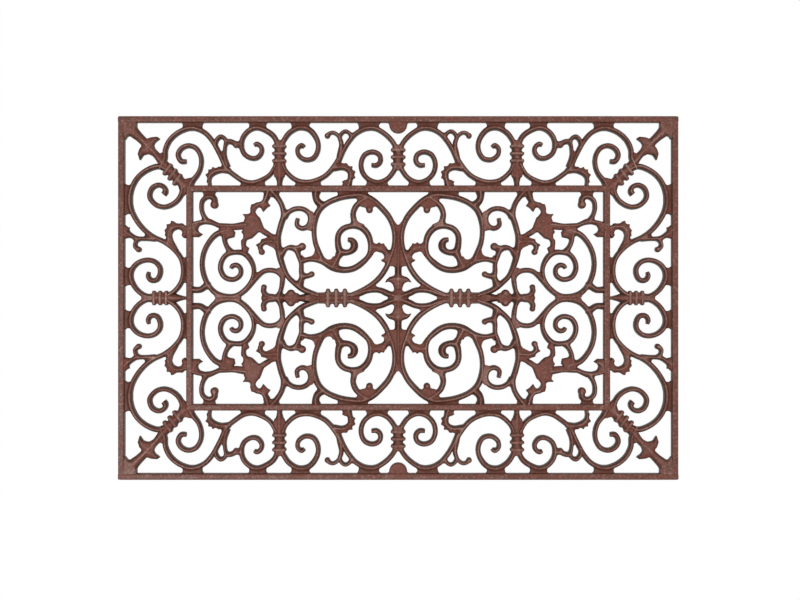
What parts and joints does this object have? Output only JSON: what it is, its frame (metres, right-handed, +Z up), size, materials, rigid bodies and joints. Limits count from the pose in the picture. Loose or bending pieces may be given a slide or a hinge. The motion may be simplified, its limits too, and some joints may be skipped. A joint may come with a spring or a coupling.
{
  "type": "door mat",
  "caption": "Rectangular cast iron door mat: open scrollwork of curls, leaves and collars between an outer and an inner frame, lying flat on the ground.",
  "frame": {"origin": "middle of the flat underside, on the ground", "axes": "+X along the mat's length, +Y towards the back long edge, +Z up"},
  "size_m": [0.585, 0.38, 0.01],
  "materials": {
    "rail_iron": "rust-brown, semi-matte, worn smooth along the rails",
    "scroll_iron": "rust-brown, semi-matte, sand-cast grain, darker sides",
    "collar_iron": "rust-brown, semi-matte, darker in the flutes"
  },
  "bodies": {
    "root": {"outer_long_rail_back": "rail_iron", "outer_long_rail_front": "rail_iron", "inner_long_rail_back": "rail_iron", "inner_long_rail_front": "rail_iron", "outer_end_rail_right": "rail_iron", "outer_end_rail_left": "rail_iron", "inner_end_rail_right": "rail_iron", "inner_end_rail_left": "rail_iron", "corner_spear_back_right": "collar_iron", "corner_spear_back_left": "collar_iron", "corner_spear_front_right": "collar_iron", "corner_spear_front_left": "collar_iron", "corner_scroll_back_right": "scroll_iron", "corner_scroll_back_left": "scroll_iron", "corner_scroll_front_right": "scroll_iron", "corner_scroll_front_left": "scroll_iron", "hook_scroll_back_right": "scroll_iron", "hook_scroll_back_left": "scroll_iron", "hook_scroll_front_right": "scroll_iron", "hook_scroll_front_left": "scroll_iron", "twin_curl_back_right": "collar_iron", "twin_curl_back_left": "collar_iron", "twin_curl_front_right": "collar_iron", "twin_curl_front_left": "collar_iron", "side_scroll_back_right": "scroll_iron", "side_scroll_back_left": "scroll_iron", "side_scroll_front_right": "scroll_iron", "side_scroll_front_left": "scroll_iron", "vine_back_right": "scroll_iron", "vine_back_left": "scroll_iron", "vine_front_right": "scroll_iron", "vine_front_left": "scroll_iron", "ring_scroll_back_right": "scroll_iron", "ring_scroll_back_left": "scroll_iron", "ring_scroll_front_right": "scroll_iron", "ring_scroll_front_left": "scroll_iron", "centre_scroll_back_right": "scroll_iron", "centre_scroll_back_left": "scroll_iron", "centre_scroll_front_right": "scroll_iron", "centre_scroll_front_left": "scroll_iron", "heart_bar_back_right": "scroll_iron", "heart_bar_back_left": "scroll_iron", "heart_bar_front_right": "scroll_iron", "heart_bar_front_left": "scroll_iron", "leaf_cluster_back_right": "scroll_iron", "leaf_cluster_back_left": "scroll_iron", "leaf_cluster_front_right": "scroll_iron", "leaf_cluster_front_left": "scroll_iron", "middle_scroll_back": "collar_iron", "middle_scroll_front": "collar_iron", "end_scroll_right": "collar_iron", "end_scroll_left": "collar_iron", "axis_clasp_right": "collar_iron", "axis_clasp_left": "collar_iron", "centre_spear": "scroll_iron"}
  },
  "joints": []
}
